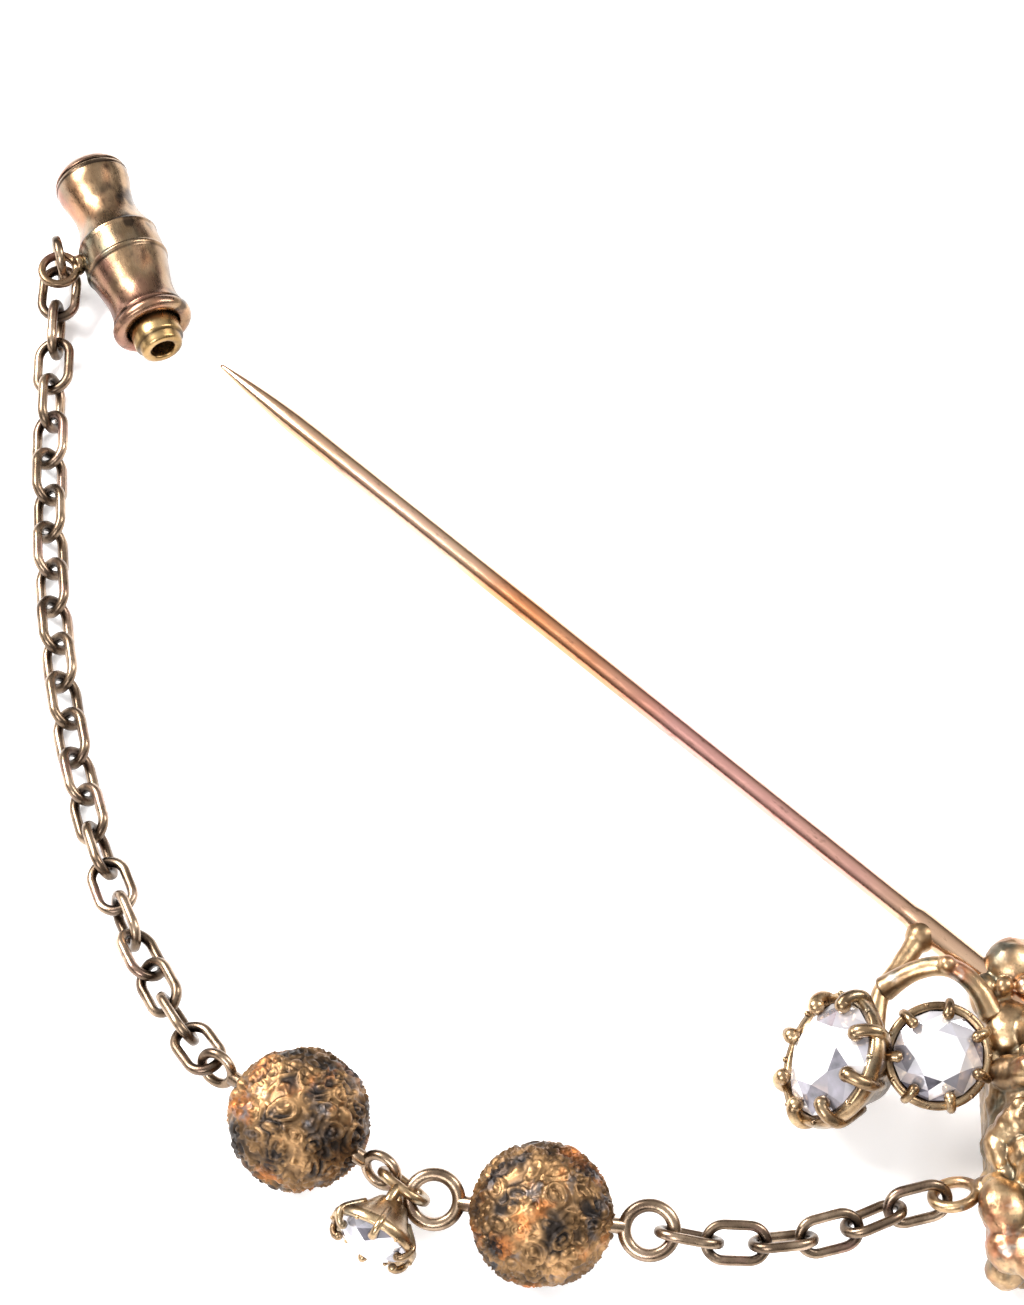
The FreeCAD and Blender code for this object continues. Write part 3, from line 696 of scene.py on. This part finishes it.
def claw_setting(radius, claws, boldness=1.0):
    """A turned cup with a beaded rim and round-ended claws bent over the stone."""
    r = radius
    wall = 0.14 * r + 0.12
    base = -1.05 * r
    outer = [(0.0, base), (0.4 * r, base), (0.44 * r, base + 0.04 * r), (0.62 * r, base + 0.3 * r),
             (0.84 * r, base + 0.56 * r), (r + 0.6 * wall, -0.22 * r), (r + wall, -0.12 * r),
             (r + wall, 0.04 * r), (r + 0.8 * wall, 0.1 * r)]
    inner = [(r + 0.12 * wall, 0.08 * r), (r + 0.03 * wall, -0.02 * r), (0.9 * r, -0.16 * r), (0.5 * r, -0.5 * r),
             (0.2 * r, base + 0.35 * r), (0, base + 0.33 * r)]
    shapes = [lathe(outer + inner, 72)]
    for k in range(claws):
        a = 2 * math.pi * (k + 0.3) / claws
        out = Vector((math.cos(a), math.sin(a), 0))
        path = [out * (0.72 * r) + UP * (-0.62 * r), out * (r + 0.75 * wall) + UP * (-0.14 * r),
                out * (r + 0.9 * wall) + UP * (0.1 * r), out * (r + 0.2 * wall) + UP * (0.27 * r),
                out * (0.9 * r) + UP * (0.3 * r)]
        shapes.append(tube(smooth_path(path, 5), lambda t: wall * (0.42 + 0.12 * t) * boldness, 12))
        shapes.append(ball(0.62 * wall * boldness, out * (0.93 * r) + UP * (0.28 * r)))
    for k in range(claws):
        a = 2 * math.pi * (k + 0.8) / claws
        out = Vector((math.cos(a), math.sin(a), 0))
        shapes.append(ball(0.3 * wall, out * (r + 0.72 * wall) + UP * (0.1 * r), 6, 10))
    return join(*shapes)


def cup_painted_light(shape, radius):
    """Painted light and shade: rim and claw tips painted bright, the lower body and the inside of the cup painted dark
    as shade.
    """
    out = []
    for v in shape[0]:
        outside = math.hypot(v.x, v.y) / radius
        height = (v.z / radius + 1.05) / 1.35
        lit = 0.25 + 0.75 * max(0.0, min(1.0, height)) ** 1.2
        # Painted shade on the inside of the cup.
        if outside < 0.95 and v.z < 0.05 * radius and v.z > -0.9 * radius:
            lit = min(lit, 0.3)
        out.append(lit)
    return out


HEAD_TURN = math.radians(133.1)
ALONG = Vector((math.cos(HEAD_TURN), math.sin(HEAD_TURN), 0))
ACROSS = ALONG.cross(UP)
HEAD_CENTRE = Vector((9.7, -2.4, 0))


def head_vector(offset):
    return ACROSS * offset[0] + ALONG * offset[1] + UP * offset[2]


SETTINGS = (
    ("front", 2.3, HEAD_CENTRE + head_vector((-7.35, 2.2, 1.6)), head_vector((0.05, -0.45, 0.88)), 7, 1.15),
    ("side", 3.0, HEAD_CENTRE + head_vector((-12.65, 2.35, 0.9)), head_vector((-0.78, 0.0, 0.62)), 8, 1.3),
    ("centre", 2.9, HEAD_CENTRE + head_vector((0.6, 0.3, 4.3)), UP, 8, 1.0),
)
for which, size, centre, facing, claws, boldness in SETTINGS:
    cup = claw_setting(size, claws, boldness)
    piece(which + "_setting", cup, CUP_GOLD, "head", [which + "_cup"],
          facing_matrix(centre, facing), cup_painted_light(cup, size))
    make_stone(which + "_stone", size, centre, facing, "head")


def make_station():
    """The stone between the beads: a link with a small claw cup soldered to its flat side."""
    offset = head_vector((-1.5, -2.75, -0.1))
    facing = offset.normalized()
    pts = points_of("station_stone")
    reach = pts @ np.array(facing)
    low, high = reach.min(), reach.max()
    across = pts - np.outer(reach, np.array(facing))
    middle = Vector((across.max(0) + across.min(0)) / 2)
    face = middle + facing * (low + (high - low) * 0.8 / 1.2)
    centre = face - offset
    heading = math.radians(183.1)
    way = Vector((math.cos(heading), math.sin(heading), 0))
    side = way.cross(UP).normalized()
    roll = math.radians(59)
    normal = UP * math.cos(roll) + side * math.sin(roll)
    ring = move(tube(oval(3.2, 2.3, 0.3), 0.27, 14, True, 0.015), axes_matrix(centre, way, normal))
    cup = move(claw_setting(1.95, 6), facing_matrix(face, facing))
    rail = normal.cross(way).normalized() * 0.85
    posts = [tube([centre + rail * k, centre + rail * k + facing * 1.6], 0.28, 12) for k in (-1, 1)]
    shape = join(ring, cup, *posts)
    piece("station_setting", shape, CUP_GOLD, "station", ["station_cup"], None,
          [0.8 + 0.2 * noise.noise(v * 0.9) for v in shape[0]])
    make_stone("station_stone", 1.95, face, facing, "station")


make_station()


# ---------------------------------------------------------------- head casting

def remeshed(shape, voxel, smoothing=0):
    """Fuses overlapping closed shapes into one skin of even small faces."""
    mesh = bpy.data.meshes.new("work")
    mesh.from_pydata([tuple(v) for v in shape[0]], [], [tuple(f) for f in shape[1]])
    work = bmesh.new()
    work.from_mesh(mesh)
    bmesh.ops.recalc_face_normals(work, faces=work.faces)
    work.to_mesh(mesh)
    work.free()
    holder = bpy.data.objects.new("work", mesh)
    bpy.context.collection.objects.link(holder)
    modifier = holder.modifiers.new("remesh", "REMESH")
    modifier.mode = "VOXEL"
    modifier.voxel_size = voxel
    if smoothing:
        relax = holder.modifiers.new("relax", "SMOOTH")
        relax.factor = 0.5
        relax.iterations = smoothing
    made = bpy.data.meshes.new_from_object(holder.evaluated_get(bpy.context.evaluated_depsgraph_get()))
    verts = [v.co.copy() for v in made.vertices]
    faces = [tuple(p.vertices) for p in made.polygons]
    bpy.data.objects.remove(holder)
    bpy.data.meshes.remove(made)
    return verts, faces


def crease_painted_shade(shape, rounds=10, strength=5.0):
    """Painted shade from the form itself: low in creases, which the material paints dark as shade, high on ridges."""
    co = np.array([tuple(v) for v in shape[0]])
    edges = set()
    for f in shape[1]:
        for a, b in zip(f, f[1:] + f[:1]):
            edges.add((min(a, b), max(a, b)))
    edges = np.array(sorted(edges))
    degree = np.bincount(edges.ravel(), minlength=len(co)).astype(float)

    def average(values):
        total = np.zeros_like(values)
        np.add.at(total, edges[:, 0], values[edges[:, 1]])
        np.add.at(total, edges[:, 1], values[edges[:, 0]])
        return total / (degree[:, None] if values.ndim == 2 else degree)

    normals = np.zeros_like(co)
    for f in shape[1]:
        n = np.cross(co[f[1]] - co[f[0]], co[f[2]] - co[f[0]])
        for i in f:
            normals[i] += n
    normals /= np.linalg.norm(normals, axis=1)[:, None] + 1e-9
    soft = co.copy()
    for _ in range(rounds):
        soft = 0.3 * soft + 0.7 * average(soft)
    lift = ((co - soft) * normals).sum(1)
    for _ in range(2):
        lift = 0.5 * lift + 0.5 * average(lift)
    return np.clip(0.5 + strength * lift, 0, 1)


def blob(centre, size, heading=0.0, tilt=0.0):
    """A smooth lump with three half sizes, turned about Z and tipped along its length."""
    p, faces = icosphere(3)
    turn = Matrix.Rotation(math.radians(heading), 4, "Z") @ Matrix.Rotation(math.radians(-tilt), 4, "Y")
    verts = [turn @ Vector((q[0] * size[0], q[1] * size[1], q[2] * size[2])) for q in p]
    return [v + Vector(centre) for v in verts], [tuple(f) for f in faces]


def rounded_rectangle(half_x, half_y, corner, count=10):
    out = []
    for sx, sy, start in ((1, 1, 0), (-1, 1, 90), (-1, -1, 180), (1, -1, 270)):
        for k in range(count + 1):
            a = math.radians(start + 90 * k / count)
            out.append((sx * (half_x - corner) + corner * math.cos(a), sy * (half_y - corner) + corner * math.sin(a)))
    return out


def cushion_core(half_x, half_y, corner, wall, pocket, top, base):
    """The casting's body: a cushion with a pocket in its back, as one closed skin."""
    outer = ((base, 0), (-1.2, 0.02), (0.0, 0.18), (top, 0.7))
    loops = [[(x, y, pocket) for x, y in rounded_rectangle(half_x - wall, half_y - wall, corner - wall)],
             [(x, y, base) for x, y in rounded_rectangle(half_x - wall, half_y - wall, corner - wall)]]
    for z, inset in outer:
        loops.append([(x, y, z) for x, y in rounded_rectangle(half_x - inset, half_y - inset, corner)])
    verts = [Vector(p) for loop in loops for p in loop]
    count = len(loops[0])
    faces = []
    for i in range(len(loops) - 1):
        for j in range(count):
            n = (j + 1) % count
            faces.append((i * count + j, i * count + n, (i + 1) * count + n, (i + 1) * count + j))
    faces.append(tuple(reversed(range(count))))
    faces.append(tuple(range((len(loops) - 1) * count, len(loops) * count)))
    return verts, faces


# Rounded lumps down each side of the casting: place along, place to the side, height, half sizes, turn
SIDE_LUMPS = (
    (8.0, 3.3, 0.45, (1.45, 1.4, 1.25), 40),
    (6.7, 4.75, 0.3, (0.75, 0.8, 0.75), 0),
    (6.35, 3.8, 1.15, (0.5, 0.5, 0.5), 0),
    (6.3, 2.75, 1.35, (0.48, 0.48, 0.48), 0),
    (4.2, 3.6, 0.65, (1.55, 1.3, 1.15), -20),
    (2.7, 4.6, 0.0, (0.9, 0.75, 0.8), 20),
    (0.2, 4.1, -0.5, (1.2, 0.8, 0.9), 10),
    (-2.3, 4.5, 0.35, (1.3, 0.62, 0.8), 8),
    (-2.7, 2.9, 0.9, (1.3, 1.1, 1.0), -30),
    (-4.3, 4.7, 0.1, (0.7, 0.7, 0.8), 0),
    (-5.8, 4.3, 0.6, (1.75, 1.3, 1.2), 14),
    (-7.7, 4.0, 0.0, (1.2, 1.4, 1.2), -40),
)


def head_shapes():
    """Every form on the head casting, in its own axes: X along its length, Y across to the left, Z up."""
    half_x, half_y = 8.2, 4.9
    shapes = [cushion_core(half_x, half_y, 2.0, 0.9, -1.1, 0.6, REST_Z)]
    dome = [(0, -1.0), (4.6, -1.0)]
    for k in range(1, 13):
        a = math.pi / 2 * k / 12
        dome.append((4.6 * math.cos(a), -1.0 + 3.9 * math.sin(a)))
    shapes.append(move(lathe(dome, 48), Matrix.Scale(1.45, 4, (1, 0, 0))))
    for side in (-1, 1):
        for along, left, up, size, heading in SIDE_LUMPS:
            shapes.append(blob((along, side * left, up), size, side * heading, 0))
            shapes.append(blob((0.97 * along + 0.9, side * (left - 0.35), up - 2.2), (1.25, 0.95, 1.2), side * heading))
        for k in range(3):
            y = (k - 1) * 2.9
            shapes.append(blob((side * 8.0, y, 0.3), (1.45, 1.5, 1.15), 0))
            shapes.append(blob((side * 7.9, y + 1.2, -1.9), (1.0, 1.1, 1.3), 0))
    for k in range(12):
        a = 2 * math.pi * (k + 0.5) / 12
        x, y = 5.2 * math.cos(a), 3.5 * math.sin(a)
        heading = math.degrees(math.atan2(y, x))
        shapes.append(blob((x, y, 1.35), (1.7, 1.0, 0.95), heading + 14 * math.sin(3.1 * k), -32))
    for k in range(9):
        a = 2 * math.pi * k / 9
        x, y = 3.5 * math.cos(a), 2.9 * math.sin(a)
        shapes.append(blob((x + 0.4, y, 2.45), (1.35, 0.85, 0.75), math.degrees(math.atan2(y, x)), -38))
        b = a + math.pi / 9
        shapes.append(ball(0.42, (4.5 * math.cos(b), 3.4 * math.sin(b), 2.15), 8, 14))
    return join(*shapes)


def make_head_casting():
    shape = remeshed(head_shapes(), 0.11, 4)
    verts = []
    for v in shape[0]:
        if v.z > REST_Z + 0.3:
            v = v + v.normalized() * 0.11 * noise.fractal(v * 0.9, 0.8, 2.0, 4)
        v.z = max(v.z, REST_Z + 0.005)
        verts.append(v)
    shape = (verts, shape[1])
    piece("foliate_casting", shape, HEAD_GOLD, "head", ["head_casting"],
          axes_matrix(HEAD_CENTRE, ALONG, UP), crease_painted_shade(shape))


make_head_casting()


def head_wires():
    """The strut and the arch between the pin, the cups and the casting, swelling where they are soldered."""
    strut = smooth_path([(-2.8, -0.3, 0), (-2.35, -2.85, 0), (-2.0, -4.6, 0), (-0.7, -6.4, -0.4), (0.7, -7.8, -0.9)])
    arch = smooth_path([(-2.1, -4.2, 0.1), (-1.4, -2.9, 1.1), (-0.45, -1.9, 1.6), (0.7, -1.5, 1.7),
                        (2.0, -1.6, 1.5), (3.2, -2.0, 1.0)])
    for name, node, path, radius in (("strut_wire", "stem_strut", strut, 0.5), ("arch_wire", "gallery_arch", arch, 0.52)):
        swell = lambda t: radius * (1 + 0.35 * (abs(2 * t - 1) ** 4))
        shape = tube(path, swell, 18)
        if node == "stem_strut":
            shape = join(shape, ball(0.85, (-2.75, -0.55, -0.05), 12, 20))
        else:
            shape = join(shape, ball(0.48, (-0.1, -1.75, 2.05), 10, 16), ball(0.4, (-1.9, -3.9, 0.5), 10, 16))
        shape = remeshed(shape, 0.09, 3)
        verts = [v + v.normalized() * 0.03 * noise.noise(v * 2.1) for v in shape[0]]
        piece(name, (verts, shape[1]), HEAD_GOLD, "head", [node], None, crease_painted_shade((verts, shape[1])))


def make_chain_eye():
    first = math.radians(237.0)
    slope = math.radians(-3.5)
    way = Vector((math.cos(first) * math.cos(slope), math.sin(first) * math.cos(slope), math.sin(slope)))
    side = way.cross(UP).normalized()
    top = side.cross(way)
    roll = math.radians(126 + 86)
    normal = top * math.cos(roll) + side * math.sin(roll)
    centre = Vector((7.98, -10.34, -0.19))
    ring = [Vector((1.1 * math.cos(2 * math.pi * k / 40), 1.1 * math.sin(2 * math.pi * k / 40), 0)) for k in range(40)]
    boss = Vector((8.93, -9.12, -0.19))
    lump = smooth_path([boss + Vector((0.7, 0.8, -0.2)), boss, boss - Vector((0.2, 0.3, 0))], 6)
    shape = join(
        move(tube(ring, 0.3, 14, True, 0.03), axes_matrix(centre, way, normal)),
        tube(lump, lambda t: 0.9 - 0.3 * t, 20),
    )
    shape = remeshed(shape, 0.09, 2)
    piece("hanging_eye", shape, HEAD_GOLD, "head", ["chain_eye"], None, crease_painted_shade(shape))


head_wires()
make_chain_eye()


# ---------------------------------------------------------------- pin wire

def make_pin():
    """The wire, with its slim taper drawn finer toward the point and a slight hand-polished unevenness."""
    length, root, taper, radius, tip = 53.5, 6.0, 6.7, 0.6, 0.1
    stations = [taper * (k / 24) ** 1.2 for k in range(25)]
    stations += [taper + (length + root - taper) * k / 90 for k in range(1, 91)]
    profile = [(0, -0.02)]
    for s in stations:
        if s < taper:
            t = s / taper
            r = tip + (radius - tip) * (1 - (1 - t) ** 1.9)
        else:
            r = radius + 0.006 * noise.noise(Vector((s * 0.5, 0, 0)))
            r += 0.12 * max(0.0, min(1.0, (s - length + 3.9) / 0.5))
        profile.append((r, s))
    profile.append((0, length + root + 0.01))
    shape = lathe(profile, 40)
    matrix = axes_matrix(Vector((-length, 0, 0)), Vector((0, 0, 1)), Vector((1, 0, 0)))
    verts, faces = shape
    turned = [(Vector((v.z, v.x, v.y))) for v in verts]
    piece("pin_shaft", (turned, faces), PIN_GOLD, "head", ["pin_wire"],
          axes_matrix(Vector((-length, 0, 0)), Vector((1, 0, 0)), UP),
          [1.0 if v.x > 0.4 else 0.6 for v in turned])


make_pin()


# ---------------------------------------------------------------- guard

MOUTH = next(m for m in frame["record"]["mounts"] if m["name"] == "guard_bore")
GUARD_ALONG = Vector(MOUTH["axis"]).normalized()
GUARD_START = Vector(MOUTH["pos_m"]) / MM - GUARD_ALONG * 12.2
GUARD = axes_matrix(GUARD_START, UP, GUARD_ALONG)


def fine(points, steps=7):
    """A smooth profile through (radius, height) points."""
    path = smooth_path([(r, 0, z) for r, z in points], steps)
    return [(p.x, p.z) for p in path]


def groove_shade_and_mottle(shape, grooves, width=0.1):
    """Dark along each groove as painted shade, and mottled between them."""
    out = []
    for v in shape[0]:
        dark = max(math.exp(-((v.z - g) / width) ** 2) for g in grooves)
        out.append(0.78 - 0.66 * dark + 0.25 * noise.noise(Vector((v.x, v.y, v.z * 0.5)) * 0.8))
    return out


def guard_local(shape):
    """Turned shapes, laid out so that their long axis is the first coordinate for the material's grain."""
    return [Vector((v.z, v.x, v.y)) for v in shape[0]], shape[1]


def turned_piece(name, profile, material, body, nodes, grooves, count=96):
    shape = lathe(profile, count)
    painted_shade_and_tone = groove_shade_and_mottle(shape, grooves)
    verts, faces = guard_local(shape)
    swap = Matrix(((0, 1, 0, 0), (0, 0, 1, 0), (1, 0, 0, 0), (0, 0, 0, 1)))
    return piece(name, (verts, faces), material, body, nodes, GUARD @ swap, painted_shade_and_tone)


WIDER = 1.077


def make_guard():
    skin = fine([(1.86, 0.02), (1.93, 0.14), (1.96, 0.24)]) + [(1.9, 0.3)]
    skin += fine([(1.93, 0.36), (1.9, 0.8), (1.74, 1.5), (1.61, 2.3), (1.62, 2.9), (1.72, 3.5), (1.98, 4.25), (2.04, 4.42)])
    skin += [(2.1, 4.5), (2.13, 4.58), (2.08, 4.68)]
    skin += fine([(2.09, 4.8), (2.12, 5.5), (2.12, 6.0), (2.12, 6.08)])
    skin += [(2.17, 6.16), (2.185, 6.26), (2.15, 6.36), (2.09, 6.42)]
    skin += fine([(2.07, 6.55), (1.92, 7.3), (1.76, 8.2), (1.73, 8.8), (1.79, 9.4), (1.9, 9.82)])
    skin += [(1.84, 9.9), (1.86, 9.97)]
    skin += fine([(1.98, 10.05), (2.06, 10.2), (2.07, 10.4), (2.0, 10.58), (1.86, 10.68)])
    skin = [(r * WIDER, z) for r, z in skin]
    bore = [(1.83, 10.7), (1.56, 10.66), (1.5, 10.55), (1.5, 9.02), (1.3, 9.0), (1.3, 0.02)]
    turned_piece("barrel_shell", skin + bore + skin[:1], GUARD_BRASS, "guard", ["guard_barrel"],
                 (0.3, 4.46, 6.45, 9.9, 10.9))
    dome = fine([(1.3, 0.7), (1.3, 0.0)], 3) + [(1.98, -0.01), (2.03, -0.06)]
    dome += fine([(2.0, -0.16), (1.82, -0.44), (1.25, -0.93), (0.55, -1.18), (0.0, -1.25)])
    turned_piece("cap_dome", [(0, 0.7)] + dome[:-1] + [(0, -1.25)], GUARD_BRASS, "guard", ["guard_cap"],
                 (0.0, 0.5))
    nose = [(0.95, 5.2), (0.95, 9.9), (1.34, 9.9), (1.375, 9.94), (1.375, 11.5), (1.35, 11.6), (1.22, 11.66),
            (1.19, 11.72), (1.16, 12.0), (1.1, 12.12), (0.98, 12.2), (0.8, 12.2), (0.7, 12.16), (0.675, 12.05), (0.675, 5.2),
            (0.95, 5.2)]
    turned_piece("nozzle_tube", nose, NOZZLE_BRASS, "nozzle", ["guard_nozzle"], (11.66, 9.9))


def make_guard_eye():
    pts = points_of("guard_eye")
    low, high = pts.min(0), pts.max(0)
    toward = GUARD_ALONG.cross(UP)
    axis = GUARD_START + GUARD_ALONG * 5.1
    centre = axis + toward * 3.6
    ring = []
    for k in range(44):
        a = 2 * math.pi * k / 44
        ring.append(Vector((0.95 * math.cos(a), 0.95 * math.sin(a), 0)))
    band = axis + toward * 2.3
    solder = [band - toward * 0.05, band + toward * 0.25]
    shape = join(
        move(tube(ring, 0.24, 16, True, 0.06), axes_matrix(centre, toward, UP)),
        tube(solder, 0.5, 18),
        ball(0.3, band + toward * 0.25 + GUARD_ALONG * 0.35 - UP * 0.1),
    )
    shape = remeshed(shape, 0.07, 2)
    piece("soldered_eye", shape, GUARD_BRASS, "guard", ["guard_eye"], None, crease_painted_shade(shape))


def make_spring():
    """The spring inside the guard, as a coil with fixed ends."""
    low, high, turns, travel = 0.930, 4.970, 5, 0.8
    path = []
    for k in range(24 * turns + 1):
        a = 2 * math.pi * k / 24
        path.append(Vector((1.1 * math.cos(a), 1.1 * math.sin(a), low + (high - low) * k / (24 * turns))))
    coil = piece("spring_coil", tube(path, 0.16, 10), STEEL, "guard", ["guard_spring"], GUARD)
    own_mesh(coil)


make_guard()
make_guard_eye()
make_spring()


# ---------------------------------------------------------------- CAD nodes that stay as they are

for node, material in (
    ("head_back_plate", HEAD_GOLD), ("guard_seat", NOZZLE_BRASS), ("guard_balls", STEEL),
):
    obj = frame["nodes"][node]
    own = material.copy()
    own.name = node + "_surface"
    tree = own.node_tree
    for item in [n for n in tree.nodes if n.type == "ATTRIBUTE"]:
        if item.attribute_name == "local":
            place = tree.nodes.new("ShaderNodeTexCoord")
            scale = tree.nodes.new("ShaderNodeMapping")
            scale.inputs["Scale"].default_value = (1 / MM,) * 3
            tree.links.new(place.outputs["Object"], scale.inputs["Vector"])
            for link in list(item.outputs["Vector"].links):
                tree.links.new(scale.outputs[0], link.to_socket)
        else:
            # These CAD meshes lack the painted-shade attribute, so a fixed 0.75 stands in for it.
            lit = tree.nodes.new("ShaderNodeValue")
            lit.outputs[0].default_value = 0.75
            for link in list(item.outputs["Fac"].links):
                tree.links.new(lit.outputs[0], link.to_socket)
    for index in range(len(obj.material_slots)):
        obj.material_slots[index].material = own
